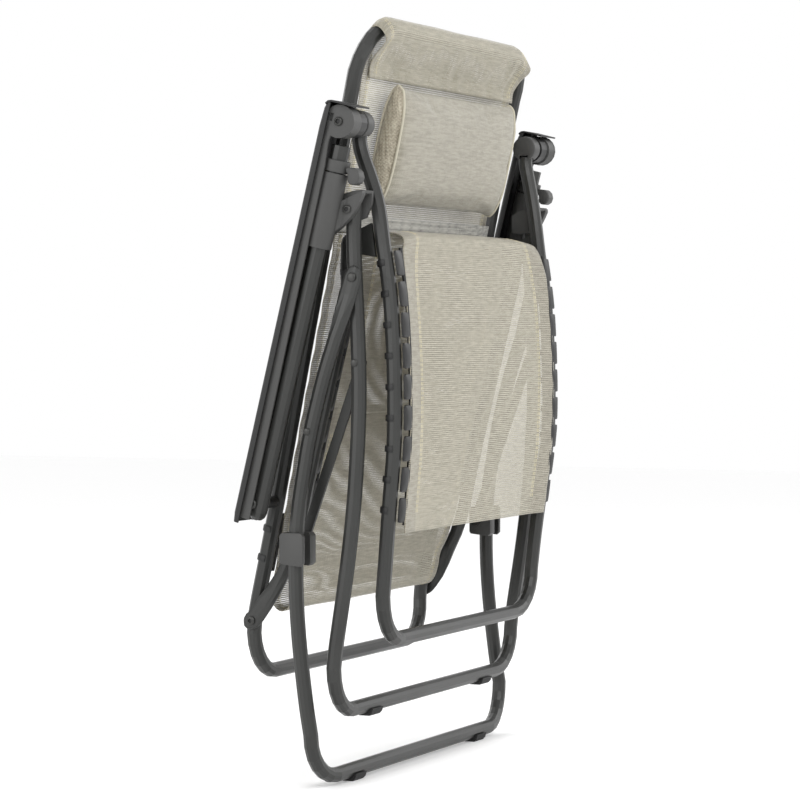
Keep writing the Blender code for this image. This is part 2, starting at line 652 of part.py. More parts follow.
def pillow():
    """Head pillow: a lens-shaped bolster across the back fabric."""
    bm = bmesh.new()
    rings = []
    n = 14
    for x, fill in ((-0.208, 0.62), (-0.196, 0.90), (-0.10, 1.0), (0.10, 1.0), (0.196, 0.90), (0.208, 0.62)):
        ring = []
        for k in range(n):
            t = 2 * math.pi * k / n
            z = 0.8120 + 0.088 * math.sin(t)
            y = at(backSide, z)[1] - 0.0300 + 0.0220 * fill * math.cos(t)
            ring.append(bm.verts.new((x, y, z)))
        rings.append(ring)
    for a, b in zip(rings[:-1], rings[1:]):
        for k in range(n):
            bm.faces.new((a[k], a[(k + 1) % n], b[(k + 1) % n], b[k]))
    bm.faces.new(rings[0][::-1])
    bm.faces.new(rings[-1])
    keep("pillow", bm, hemCloth, (0, -0.06, 0.81))


def main():
    global steel, plastic, dark, rivetMetal, cloth, hemCloth
    start()
    steel = material("frame_steel", (0.085, 0.085, 0.080), 0.45, 0.3)
    plastic = material("moulded_grey", (0.12, 0.12, 0.115), 0.55, 0.0)
    dark = material("clip_black", (0.02, 0.02, 0.02), 0.6, 0.0)
    rivetMetal = material("rivet_grey", (0.13, 0.13, 0.125), 0.4, 0.6)
    cloth = material("mesh_cloth", (0.62, 0.58, 0.48), 0.85, 0.0)
    hemCloth = material("pillow_cloth", (0.66, 0.63, 0.54), 0.85, 0.0)
    rearLegs()
    frontLegs()
    legRest()
    backFrame()
    seatRails()
    restHubs()
    kneePlates()
    arms()
    sliders()
    staysAndRunners()
    rivets()
    feet()
    fabric()
    clips()
    pillow()


main()
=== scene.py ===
import json
import math

import bmesh
import bpy
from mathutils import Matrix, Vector, noise


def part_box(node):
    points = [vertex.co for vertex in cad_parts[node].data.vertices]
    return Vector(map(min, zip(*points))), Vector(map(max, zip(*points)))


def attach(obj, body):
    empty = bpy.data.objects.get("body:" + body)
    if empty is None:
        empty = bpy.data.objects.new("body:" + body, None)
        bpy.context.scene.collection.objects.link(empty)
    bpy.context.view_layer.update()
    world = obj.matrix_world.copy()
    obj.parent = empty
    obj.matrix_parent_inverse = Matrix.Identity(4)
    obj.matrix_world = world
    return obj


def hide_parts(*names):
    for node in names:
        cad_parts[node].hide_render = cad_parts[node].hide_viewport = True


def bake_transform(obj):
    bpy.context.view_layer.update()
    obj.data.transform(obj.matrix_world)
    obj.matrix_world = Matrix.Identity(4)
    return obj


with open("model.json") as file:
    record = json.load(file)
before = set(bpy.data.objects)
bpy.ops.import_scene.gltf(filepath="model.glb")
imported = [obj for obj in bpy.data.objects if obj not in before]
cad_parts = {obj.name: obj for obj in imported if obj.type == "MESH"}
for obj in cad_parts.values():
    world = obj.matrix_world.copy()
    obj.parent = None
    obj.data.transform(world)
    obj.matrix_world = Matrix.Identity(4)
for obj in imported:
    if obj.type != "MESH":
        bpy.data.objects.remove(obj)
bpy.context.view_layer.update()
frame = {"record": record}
sides = (("left", -1), ("right", 1))
tubeR = 0.0097


def node(name):
    return bpy.data.objects[name]


def cutAt(name, z, side):
    # Centre (x, y) of a node's section at height z, on one side of the chair.
    mesh = node(name).data
    xs, ys = [], []
    for edge in mesh.edges:
        a, b = (mesh.vertices[i].co for i in edge.vertices)
        if (a.z - z) * (b.z - z) < 0:
            p = a.lerp(b, (z - a.z) / (b.z - a.z))
            if p.x * side > 0:
                xs.append(p.x)
                ys.append(p.y)
    return Vector(((min(xs) + max(xs)) / 2, (min(ys) + max(ys)) / 2, z))


def extent(name):
    low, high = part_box(name)
    return Vector(low), Vector(high)


def newMaterial(name):
    made = bpy.data.materials.new(name)
    made.use_nodes = True
    tree = made.node_tree
    return made, tree, tree.nodes["Principled BSDF"]


def add(tree, kind, **values):
    made = tree.nodes.new(kind)
    for key, value in values.items():
        setattr(made, key, value)
    return made


def maths(tree, operation, a, b=None, clamp=False):
    made = add(tree, "ShaderNodeMath", operation=operation, use_clamp=clamp)
    for socket, value in zip(made.inputs, (a, b)):
        if value is None:
            continue
        if isinstance(value, (int, float)):
            socket.default_value = value
        else:
            tree.links.new(value, socket)
    return made.outputs[0]


def group(name, inputs, outputs):
    tree = bpy.data.node_groups.new(name, "ShaderNodeTree")
    for label, kind, value in inputs:
        socket = tree.interface.new_socket(label, in_out="INPUT", socket_type=kind)
        if value is not None:
            socket.default_value = value
    for label, kind in outputs:
        tree.interface.new_socket(label, in_out="OUTPUT", socket_type=kind)
    return tree, add(tree, "NodeGroupInput"), add(tree, "NodeGroupOutput")


def useGroup(tree, shared, **values):
    made = add(tree, "ShaderNodeGroup", node_tree=shared)
    for key, value in values.items():
        made.inputs[key].default_value = value
    return made


def grainGroup():
    # Speckled colour, uneven gloss and a fine bump, for paint and moulded plastic.
    tree, source, result = group(
        "grain",
        (("Base", "NodeSocketColor", None), ("Tint", "NodeSocketColor", None),
         ("Scale", "NodeSocketFloat", 900.0), ("Rough", "NodeSocketFloat", 0.5),
         ("Spread", "NodeSocketFloat", 0.1), ("Wear", "NodeSocketFloat", 0.1)),
        (("Color", "NodeSocketColor"), ("Roughness", "NodeSocketFloat"), ("Height", "NodeSocketFloat")))
    place = add(tree, "ShaderNodeTexCoord").outputs["Object"]
    fine = add(tree, "ShaderNodeTexNoise")
    fine.inputs["Detail"].default_value = 3
    tree.links.new(source.outputs["Scale"], fine.inputs["Scale"])
    tree.links.new(place, fine.inputs["Vector"])
    broad = add(tree, "ShaderNodeTexNoise")
    broad.inputs["Scale"].default_value = 14
    broad.inputs["Detail"].default_value = 6
    tree.links.new(place, broad.inputs["Vector"])
    mix = add(tree, "ShaderNodeMix", data_type="RGBA")
    amount = maths(tree, "MULTIPLY", maths(tree, "SUBTRACT", broad.outputs["Fac"], 0.42), 3.0, True)
    tree.links.new(maths(tree, "MULTIPLY", amount, source.outputs["Wear"]), mix.inputs["Factor"])
    tree.links.new(source.outputs["Base"], mix.inputs["A"])
    tree.links.new(source.outputs["Tint"], mix.inputs["B"])
    tree.links.new(mix.outputs["Result"], result.inputs["Color"])
    offset = maths(tree, "SUBTRACT", broad.outputs["Fac"], 0.5)
    swing = maths(tree, "MULTIPLY", offset, source.outputs["Spread"])
    tree.links.new(maths(tree, "ADD", source.outputs["Rough"], swing), result.inputs["Roughness"])
    tree.links.new(fine.outputs["Fac"], result.inputs["Height"])
    return tree


grain = grainGroup()


def grained(name, base, tint, rough, scale, bump, spread=0.25, wear=0.35, metallic=0.0, coat=0.0):
    made, tree, shader = newMaterial(name)
    g = useGroup(tree, grain, Base=(*base, 1), Tint=(*tint, 1), Scale=scale, Rough=rough, Spread=spread,
                 Wear=wear)
    tree.links.new(g.outputs["Color"], shader.inputs["Base Color"])
    tree.links.new(g.outputs["Roughness"], shader.inputs["Roughness"])
    bumpNode = add(tree, "ShaderNodeBump")
    bumpNode.inputs["Strength"].default_value = bump
    bumpNode.inputs["Distance"].default_value = 0.0004
    tree.links.new(g.outputs["Height"], bumpNode.inputs["Height"])
    tree.links.new(bumpNode.outputs["Normal"], shader.inputs["Normal"])
    shader.inputs["Metallic"].default_value = metallic
    shader.inputs["Coat Weight"].default_value = coat
    shader.inputs["Coat Roughness"].default_value = 0.35
    return made


def weaveGroup():
    # Plain weave of coated yarn in metres: yarn height, the holes between, and slubby streaks.
    tree, source, result = group(
        "weave",
        (("Vector", "NodeSocketVector", None), ("Pitch", "NodeSocketFloat", 0.0018),
         ("Opening", "NodeSocketFloat", 0.3), ("Turn", "NodeSocketFloat", 0.0)),
        (("Height", "NodeSocketFloat"), ("Cover", "NodeSocketFloat"), ("Streak", "NodeSocketFloat"),
         ("Shade", "NodeSocketFloat")))
    turn = add(tree, "ShaderNodeVectorRotate", rotation_type="Z_AXIS")
    tree.links.new(source.outputs["Vector"], turn.inputs["Vector"])
    tree.links.new(source.outputs["Turn"], turn.inputs["Angle"])
    split = add(tree, "ShaderNodeSeparateXYZ")
    tree.links.new(turn.outputs["Vector"], split.inputs["Vector"])
    waves = []
    for axis in ("X", "Y"):
        phase = maths(tree, "DIVIDE", split.outputs[axis], source.outputs["Pitch"])
        wave = maths(tree, "ABSOLUTE", maths(tree, "SINE", maths(tree, "MULTIPLY", phase, math.pi)))
        waves.append((phase, wave))
    cell = maths(tree, "ADD", maths(tree, "FLOOR", waves[0][0]), maths(tree, "FLOOR", waves[1][0]))
    over = maths(tree, "ABSOLUTE", maths(tree, "MODULO", cell, 2.0))
    across = maths(tree, "MULTIPLY", waves[0][1], over)
    down = maths(tree, "MULTIPLY", waves[1][1], maths(tree, "SUBTRACT", 1.0, over))
    height = maths(tree, "ADD", across, down)
    tree.links.new(height, result.inputs["Height"])
    between = [maths(tree, "SUBTRACT", 1.0, wave) for _, wave in waves]
    gap = maths(tree, "MULTIPLY", between[0], between[1])
    limit = maths(tree, "SUBTRACT", 1.0, source.outputs["Opening"])
    hole = maths(tree, "GREATER_THAN", gap, maths(tree, "MULTIPLY", limit, limit))
    tree.links.new(maths(tree, "SUBTRACT", 1.0, hole), result.inputs["Cover"])
    slubs = []
    for scale in ((46, 330, 46), (620, 80, 80)):
        stretch = add(tree, "ShaderNodeMapping")
        stretch.inputs["Scale"].default_value = scale
        tree.links.new(source.outputs["Vector"], stretch.inputs["Vector"])
        slub = add(tree, "ShaderNodeTexNoise")
        slub.inputs["Scale"].default_value = 1.0
        slub.inputs["Detail"].default_value = 3
        tree.links.new(stretch.outputs["Vector"], slub.inputs["Vector"])
        slubs.append(slub.outputs["Fac"])
    both = maths(tree, "ADD", maths(tree, "MULTIPLY", slubs[0], 0.68),
                 maths(tree, "MULTIPLY", slubs[1], 0.32))
    tree.links.new(both, result.inputs["Streak"])
    broad = add(tree, "ShaderNodeTexNoise")
    broad.inputs["Scale"].default_value = 11
    broad.inputs["Detail"].default_value = 5
    tree.links.new(source.outputs["Vector"], broad.inputs["Vector"])
    tree.links.new(broad.outputs["Fac"], result.inputs["Shade"])
    return tree


weave = weaveGroup()


def woven(name, light, dark, pitch, opening, coords="UV", turn=0.0, bump=0.5):
    turns = {"Object": (-math.pi / 2, 0, 0), "Side": (0, math.pi / 2, 0)}  # front and side faces of the pillow
    made, tree, shader = newMaterial(name)
    place = add(tree, "ShaderNodeTexCoord").outputs["UV" if coords == "UV" else "Object"]
    if coords != "UV":
        swap = add(tree, "ShaderNodeMapping")
        swap.inputs["Rotation"].default_value = turns[coords]
        tree.links.new(place, swap.inputs["Vector"])
        place = swap.outputs["Vector"]
    g = useGroup(tree, weave, Pitch=pitch, Opening=opening, Turn=turn)
    tree.links.new(place, g.inputs["Vector"])
    mix = add(tree, "ShaderNodeMix", data_type="RGBA")
    mix.inputs["A"].default_value = (*dark, 1)
    mix.inputs["B"].default_value = (*light, 1)
    streak = maths(tree, "MULTIPLY", maths(tree, "SUBTRACT", g.outputs["Streak"], 0.39), 4.6, True)
    # colour follows the slub streaks (real yarn tone) and partly the yarn height: darker between yarns is
    # painted shade in the weave's hollows
    streakAndHollowShade = maths(tree, "ADD", maths(tree, "MULTIPLY", streak, 0.66),
                 maths(tree, "MULTIPLY", g.outputs["Height"], 0.34))
    tree.links.new(streakAndHollowShade, mix.inputs["Factor"])
    shade = add(tree, "ShaderNodeHueSaturation")
    tree.links.new(mix.outputs["Result"], shade.inputs["Color"])
    value = maths(tree, "ADD", maths(tree, "MULTIPLY", g.outputs["Shade"], 0.16), 0.92)
    tree.links.new(value, shade.inputs["Value"])
    tree.links.new(shade.outputs["Color"], shader.inputs["Base Color"])
    tree.links.new(g.outputs["Cover"], shader.inputs["Alpha"])
    bumpNode = add(tree, "ShaderNodeBump")
    bumpNode.inputs["Strength"].default_value = bump
    bumpNode.inputs["Distance"].default_value = 0.0005
    tree.links.new(g.outputs["Height"], bumpNode.inputs["Height"])
    tree.links.new(bumpNode.outputs["Normal"], shader.inputs["Normal"])
    shader.inputs["Roughness"].default_value = 0.72
    shader.inputs["Sheen Weight"].default_value = 0.25
    return made


# base colour, tint, roughness, grain scale, bump, spread, wear, metallic, coat
paints = {
    "frame_paint": ("framePaint", (0.0180, 0.0185, 0.0170), (0.0285, 0.0290, 0.0270), 0.40, 1400, 0.10, 0.2,
                    0.5, 0.25, 0.15),
    "stay_paint": ("stayPaint", (0.0215, 0.0220, 0.0205), (0.0310, 0.0315, 0.0295), 0.45, 1200, 0.10, 0.2,
                   0.5, 0.3),
    "grey_plastic": ("greyPlastic", (0.038, 0.038, 0.0365), (0.050, 0.050, 0.048), 0.52, 1700, 0.22),
    "arm_plastic": ("armPlastic", (0.0070, 0.0070, 0.0068), (0.0125, 0.0125, 0.0120), 0.55, 1500, 0.25),
    "bolt_paint": ("boltPaint", (0.036, 0.036, 0.034), (0.062, 0.062, 0.060), 0.34, 900, 0.08, 0.2, 0.6, 0.6),
    "foot_rubber": ("footRubber", (0.007, 0.007, 0.007), (0.014, 0.014, 0.014), 0.75, 1300, 0.35),
    "black_plastic": ("blackPlastic", (0.0045, 0.0045, 0.0045), (0.009, 0.009, 0.009), 0.50, 1500, 0.22),
}
# light yarn, dark yarn (also used as painted shade between yarns), pitch in metres, how open the weave is
fabrics = {
    "sling_mesh": ("slingMesh", (0.465, 0.435, 0.345), (0.280, 0.255, 0.192), 0.0026, 0.66),
    "pillow_cloth": ("pillowCloth", (0.318, 0.298, 0.240), (0.200, 0.184, 0.142), 0.0022, 0.0, "Object"),
}
materials = {slotName: grained(*look) for slotName, look in paints.items()}
materials.update({slotName: woven(*look) for slotName, look in fabrics.items()})
# no holes are cut; the very dark colour between the diagonal yarns is painted shade standing for the open
# mesh's holes
gussetMesh = woven("gussetMesh", (0.44, 0.40, 0.31), (0.17, 0.145, 0.100), 0.0034, 0.0, "Side",
                   math.pi / 4, 0.9)
bandCloth = woven("bandCloth", (0.60, 0.59, 0.54), (0.17, 0.165, 0.15), 0.0026, 0.0)
hemMesh = woven("hemMesh", (0.370, 0.343, 0.272), (0.200, 0.181, 0.136), 0.0026, 0.47)
thread = grained("seamThread", (0.60, 0.54, 0.35), (0.48, 0.43, 0.28), 0.6, 2500, 0.3)
piping = grained("pipingCord", (0.46, 0.43, 0.34), (0.38, 0.35, 0.27), 0.7, 2200, 0.4)
# near-black finish for the floor of bolt sockets: painted shade in the recess
socketShade = grained("socketPaintedShade", (0.006, 0.006, 0.006), (0.010, 0.010, 0.010), 0.6, 900, 0.1)

slotOf = {row["node"]: row["material_slot"] for row in frame["record"]["subparts"]}
for name, slotName in slotOf.items():
    data = node(name).data
    if not data.materials:
        data.materials.append(None)
    for holder in node(name).material_slots:
        holder.material = materials[slotName]
bodyOf = {n: body for body, names in frame["record"]["behaviour"]["bodies"].items() for n in names}
print("materials")


def fromBm(name, bm, finishes, smooth=40):
    mesh = bpy.data.meshes.new(name)
    bm.to_mesh(mesh)
    bm.free()
    made = bpy.data.objects.new(name, mesh)
    bpy.context.scene.collection.objects.link(made)
    for finish in finishes:
        mesh.materials.append(finish)
    mesh.shade_smooth()
    mesh.set_sharp_from_angle(angle=math.radians(smooth))
    return made


def applied(piece):
    graph = bpy.context.evaluated_depsgraph_get()
    done = bpy.data.meshes.new_from_object(piece.evaluated_get(graph))
    piece.modifiers.clear()
    piece.data = done
    return piece


def softened(name, width, segments=2, angle=32):
    # A node's own shape with its edges rounded, standing for the node.
    bm = bmesh.new()
    bm.from_mesh(node(name).data)
    bmesh.ops.remove_doubles(bm, verts=bm.verts, dist=0.00002)
    bmesh.ops.dissolve_limit(bm, angle_limit=math.radians(1.5), verts=bm.verts, edges=bm.edges)
    piece = fromBm(name + "_finish", bm, [materials[slotOf[name]]])
    rounder = piece.modifiers.new("round", "BEVEL")
    rounder.width = width
    rounder.segments = segments
    rounder.limit_method = "ANGLE"
    rounder.angle_limit = math.radians(angle)
    rounder.harden_normals = False
    applied(piece)
    piece.data.shade_smooth()
    piece.data.set_sharp_from_angle(angle=math.radians(50))
    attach(piece, bodyOf[name])
    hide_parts(name)
    return piece


edgeRounding = {"arm_cover": 0.0009, "arm_trim": 0.0007, "slide_bracket": 0.0008, "runner": 0.0018,
                "clamp_ring": 0.0008, "clamp_lever": 0.0016, "leg_rest_hub": 0.0008}
for name, width in edgeRounding.items():
    for word, _ in sides:
        softened(f"{name}_{word}", width)
print("mouldings")


def turnedBolt(name, replaced, radius, tall, socket):
    # A domed head with a six-sided socket whose floor is painted near-black as shade, standing for a plain head
    # node.
    low, high = extent(replaced)
    centre = (low + high) / 2
    side = 1 if centre.x > 0 else -1
    base = low.x if side > 0 else high.x
    bm = bmesh.new()
    profile = [(0, radius), (tall * 0.55, radius), (tall * 0.85, radius * 0.88), (tall, radius * 0.72)]
    if socket:
        profile += [(tall, socket * 1.12), (tall * 0.35, socket)]
    rings = []
    for along, r in profile:
        n = 24
        ring = []
        for k in range(n):
            t = 2 * math.pi * k / n
            hexed = r
            if socket and along == tall * 0.35:
                hexed = r * math.cos(math.pi / 6) / math.cos((t % (math.pi / 3)) - math.pi / 6)
            ring.append(bm.verts.new((base + side * along, centre.y + hexed * math.cos(t),
                                      centre.z + hexed * math.sin(t))))
        rings.append(ring)
    for a, b in zip(rings[:-1], rings[1:]):
        for k in range(len(a)):
            bm.faces.new((a[k], a[(k + 1) % len(a)], b[(k + 1) % len(b)], b[k]))
    bm.faces.new(rings[0][::-1])
    lid = bm.faces.new(rings[-1])
    # the socket's floor gets the near-black finish: painted shade in the recess
    lid.material_index = 1 if socket else 0
    bmesh.ops.recalc_face_normals(bm, faces=bm.faces)
    piece = fromBm(name, bm, [materials["bolt_paint"], socketShade], 35)
    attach(piece, bodyOf[replaced])
    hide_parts(replaced)


headSizes = {"arm_front_bolt": (0.0056, 0.0034, 0.0030), "slide_bolt": (0.0054, 0.0028, 0.0028),
             "arm_rear_bolt": (0.0058, 0.0032, 0.0028), "leg_pivot_rivet": (0.0060, 0.0026, 0),
             "hip_rivet": (0.0060, 0.0026, 0.0022), "stay_rivet": (0.0046, 0.0022, 0),
             "stop_rivet": (0.0046, 0.0022, 0)}
for name, (radius, tall, socket) in headSizes.items():
    for word, _ in sides:
        turnedBolt(f"{name}_{word}_head", f"{name}_{word}", radius, tall, socket)
print("fasteners")


def hookAt(bm, centre, axis, side, r0, r1, length, n=14):
    # A short hook that reaches round the back of a tube and leaves its front open.
    axis = axis.normalized()
    back = (Vector((0, 1, 0)) - axis * axis.y).normalized()
    inward = Vector((-side, 0, 0))
    outline = ((-0.5, r0), (-0.5, r1 - 0.0004), (-0.38, r1), (0.38, r1), (0.5, r1 - 0.0004), (0.5, r0))
    rings = []
    for k in range(n + 1):
        t = math.radians(-105 + 210 * k / n)
        way = back * math.cos(t) + inward * math.sin(t)
        rings.append([bm.verts.new(centre + axis * along * length + way * r) for along, r in outline])
    for a, b in zip(rings[:-1], rings[1:]):
        for k in range(6):
            bm.faces.new((a[k], a[(k + 1) % 6], b[(k + 1) % 6], b[k]))
    bm.faces.new(rings[0][::-1])
    bm.faces.new(rings[-1])


def blockAt(bm, centre, axes, halves, bulge=0.0, n=8):
    # A rounded block; bulge lifts its two broad faces like a lens.
    ax, ay, az = axes
    grid = {}
    for sign in (-1, 1):
        for i in range(n + 1):
            for j in range(n + 1):
                u, v = 2 * i / n - 1, 2 * j / n - 1
                edge = max(abs(u), abs(v)) ** 6
                squeeze = 1 - 0.45 * edge
                lens = bulge * max(0.0, 1 - (u * 1.25) ** 2 - (v * 1.1) ** 2)
                corner = 1 - 0.06 * (abs(u) * abs(v)) ** 4
                p = centre + ax * halves[0] * u * corner + ay * halves[1] * v * corner
                p += az * sign * (halves[2] * squeeze + lens)
                grid[sign, i, j] = bm.verts.new(p)
    for sign in (-1, 1):
        for i in range(n):
            for j in range(n):
                quad = [grid[sign, i, j], grid[sign, i + 1, j], grid[sign, i + 1, j + 1], grid[sign, i, j + 1]]
                bm.faces.new(quad if sign > 0 else quad[::-1])
    rim = [(i, 0) for i in range(n)] + [(n, j) for j in range(n)]
    rim += [(i, n) for i in range(n, 0, -1)] + [(0, j) for j in range(n, 0, -1)]
    for a, b in zip(rim, rim[1:] + rim[:1]):
        bm.faces.new((grid[1, *a], grid[-1, *a], grid[-1, *b], grid[1, *b]))


# reach is from the tube's centre line towards the fabric, ahead is in front of it
clipSize = {"halfPlate": 0.0158, "slack": 0.0003, "hookWall": 0.0018, "hookLength": 0.0080, "rodRadius": 0.0024}
clipRows = {
    "calf_clips": {"tube": "leg_rest_frame", "radius": tubeR, "count": 9, "reach": (0.0024, 0.0212),
                   "ahead": 0.0128, "halfThick": 0.0026, "lens": 0.0008},
    "seat_clips": {"tube": "seat_rail_{}", "radius": 0.0090, "count": 8, "reach": (0.0080, 0.0248),
                   "ahead": 0.0, "halfThick": 0.0030, "lens": 0.0016},
    "back_clips": {"tube": "back_frame", "radius": tubeR, "count": 2, "reach": (0.0088, 0.0255),
                   "ahead": 0.0, "halfThick": 0.0030, "lens": 0.0016},
}


def clipRow(row, side, word):
    # Edge rod and clips, each a hook round the tube with a lens-shaped face.
    plan = clipRows[row]
    near, far = plan["reach"]
    tube = plan["tube"].format(word)
    low, high = extent(f"{row}_{word}")
    bm = bmesh.new()
    spacing = (high.z - low.z - 0.008) / plan["count"]
    rodPath = []
    for k in range(plan["count"]):
        z = low.z + 0.004 + spacing * (k + 0.5)
        up, down = (cutAt(tube, z + d, side) for d in (0.008, -0.008))
        centre, along = (up + down) / 2, (up - down).normalized()
        out = Vector((-side, 0, 0))
        face = along.cross(out).normalized()
        forward = Vector((0, -plan["ahead"], 0))
        hookAt(bm, centre, along, side, plan["radius"] + clipSize["slack"],
               plan["radius"] + clipSize["hookWall"], clipSize["hookLength"])
        blockAt(bm, centre + out * (near + far) / 2 + forward, (out, along, face),
                ((far - near) / 2, clipSize["halfPlate"], plan["halfThick"]), plan["lens"])
        rodPath.append(centre + out * far + forward)
    first = rodPath[0] - (rodPath[1] - rodPath[0]) * 0.5
    last = rodPath[-1] + (rodPath[-1] - rodPath[-2]) * 0.5
    rodR = clipSize["rodRadius"]
    rings = []
    for p in [first] + rodPath + [last]:
        rings.append([bm.verts.new(p + Vector((rodR * math.cos(t), rodR * math.sin(t), 0)))
                      for t in (2 * math.pi * k / 10 for k in range(10))])
    for a, b in zip(rings[:-1], rings[1:]):
        for k in range(10):
            bm.faces.new((a[k], a[(k + 1) % 10], b[(k + 1) % 10], b[k]))
    bm.faces.new(rings[0][::-1])
    bm.faces.new(rings[-1])
    bmesh.ops.recalc_face_normals(bm, faces=bm.faces)
    piece = fromBm(f"{row}_{word}_hooks", bm, [materials["black_plastic"]], 45)
    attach(piece, bodyOf[f"{row}_{word}"])
    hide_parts(f"{row}_{word}")


for word, side in sides:
    for row in clipRows:
        clipRow(row, side, word)
print("clips")


def smoothLine(points, count):
    # Evenly spaced points on a smooth curve through points of (y, z, half width).
    pts = [Vector(p) for p in points]
    pts = [2 * pts[0] - pts[1]] + pts + [2 * pts[-1] - pts[-2]]
    fine = []
    for i in range(1, len(pts) - 2):
        a, b, c, d = pts[i - 1:i + 3]
        for k in range(12):
            t = k / 12
            bend = (2 * a - 5 * b + 4 * c - d) * t * t + (3 * b - a - 3 * c + d) * t ** 3
            fine.append(0.5 * (2 * b + (c - a) * t + bend))
    fine.append(pts[-2])
    run = [0.0]
    for a, b in zip(fine[:-1], fine[1:]):
        run.append(run[-1] + math.hypot(b[0] - a[0], b[1] - a[1]))
    line = []
    j = 0
    for k in range(count):
        want = run[-1] * k / (count - 1)
        while j < len(run) - 2 and run[j + 1] < want:
            j += 1
        t = (want - run[j]) / max(1e-9, run[j + 1] - run[j])
        line.append((want, fine[j].lerp(fine[j + 1], min(1.0, t))))
    return line, run[-1]


def slingSheet(name, points, rows, finishes, thick, shape, hem, columns=64):
    # A sheet swept across the chair along a side line, thickened, with UVs in metres.
    line, total = smoothLine(points, rows)
    bm = bmesh.new()
    uvLayer = bm.loops.layers.uv.new("weave")
    grid, uvs = [], {}
    for i, (run, p) in enumerate(line):
        ahead = (line[min(i + 1, rows - 1)][1] - line[max(i - 1, 0)][1])
        out = Vector((0, ahead[1], -ahead[0])).normalized()
        row = []
        for k in range(columns + 1):
            u = 2 * k / columns - 1
            u = math.copysign(1 - (1 - abs(u)) ** 1.25, u)
            spot = Vector((u * p[2], p[0], p[1]))
            spot += shape(u, run, total, p, out)
            vert = bm.verts.new(spot)
            uvs[vert] = (u * p[2], run)
            row.append(vert)
        grid.append(row)
    for a, b in zip(grid[:-1], grid[1:]):
        for k in range(columns):
            face = bm.faces.new((a[k], a[k + 1], b[k + 1], b[k]))
            for loop in face.loops:
                loop[uvLayer].uv = uvs[loop.vert]
            middle = (abs(2 * k / columns - 1) + abs(2 * (k + 1) / columns - 1)) / 2
            if (1 - middle) ** 1.25 < hem:
                face.material_index = 1
    piece = fromBm(name, bm, finishes, 80)
    skin = piece.modifiers.new("thickness", "SOLIDIFY")
    skin.thickness = thick
    skin.offset = 0
    applied(piece)
    piece.data.shade_smooth()
    return piece, line, total


def stitches(name, line, total, offset, shape, finish, first=0.0, last=1.0, lift=0.0012):
    # Two rows of thread on each side, laid on the sheet that shape describes.
    bm = bmesh.new()
    step = 0.0060
    spots = int(total / step)
    for side in (-1, 1):
        for inset in offset:
            for k in range(int(spots * first) + 1, int(spots * last) - 1):
                ends = []
                for run in (k * step, k * step + 0.0046):
                    f = run / total * (len(line) - 1)
                    i = min(int(f), len(line) - 2)
                    p = line[i][1].lerp(line[i + 1][1], f - i)
                    ahead = line[min(i + 2, len(line) - 1)][1] - line[max(i - 1, 0)][1]
                    out = Vector((0, ahead[1], -ahead[0])).normalized()
                    u = side * (1 - inset / p[2])
                    ends.append((Vector((u * p[2], p[0], p[1])) + shape(u, run, total, p, out), out))
                (a, outA), (b, _) = ends
                wide = (b - a).cross(outA).normalized() * 0.0006
                for sign in (-1, 1):
                    rise = outA * sign * lift
                    foot = rise * 0.55
                    quad = [bm.verts.new(v + foot) for v in (a - wide, a + wide, b + wide, b - wide)]
                    top = [bm.verts.new(v) for v in (a.lerp(b, 0.2) + rise, a.lerp(b, 0.8) + rise)]
                    bm.faces.new((quad[0], quad[1], top[0]))
                    bm.faces.new((quad[1], quad[2], top[1], top[0]))
                    bm.faces.new((quad[2], quad[3], top[1]))
                    bm.faces.new((quad[3], quad[0], top[0], top[1]))
    return fromBm(name, bm, [finish], 60)


pitch = 0.0405  # from clip to clip
_, barHigh = extent("back_frame")
barTop = barHigh.z - tubeR
barVerts = [v.co for v in node("back_frame").data.vertices
            if v.co.z > barTop - 0.011 and abs(v.co.x) < 0.212]
barY = sum(v.y for v in barVerts) / len(barVerts)


def panelY(name, z):
    return (cutAt(name, z, 1).y + cutAt(name, z, -1).y) / 2


def ripple(u, run, amount):
    # Slight pull at each clip that fades towards the middle, and a soft overall wave.
    edge = abs(u) ** 5
    pull = math.cos(2 * math.pi * run / pitch) * edge
    soft = noise.noise(Vector((u * 2.2, run * 7, 3.1)))
    return amount * (0.5 * pull + 0.9 * soft * (1 - 0.3 * edge))


backSling = {"flatWidth": 0.490, "thick": 0.0014, "hem": 0.085, "stitches": (0.0150, 0.0200), "ripple": 0.0012,
             "corner": 0.0595, "gathers": (0.0046, 0.0030), "sleeveGap": 0.0026}


def backShape(u, run, total, p, out):
    corner = backSling["corner"]
    reach = abs(u) * p[2] - (0.264 - corner)
    drop = corner - math.sqrt(max(1e-9, corner * corner - reach * reach)) if reach > 0 else 0.0
    near = max(0.0, 1 - max(0.0, barTop - p[1]) / 0.05)
    flap = max(0.0, min(1.0, (0.066 - run) / 0.03)) * min(1.0, (1 - abs(u)) * 9)
    broad, fine = backSling["gathers"]
    gather = broad * noise.noise(Vector((u * 11, run * 9, 7.3)))
    gather += fine * noise.noise(Vector((u * 27, run * 5, 2.1)))
    return out * (ripple(u, run, backSling["ripple"]) + flap * gather) + Vector((0, 0, -drop * near))


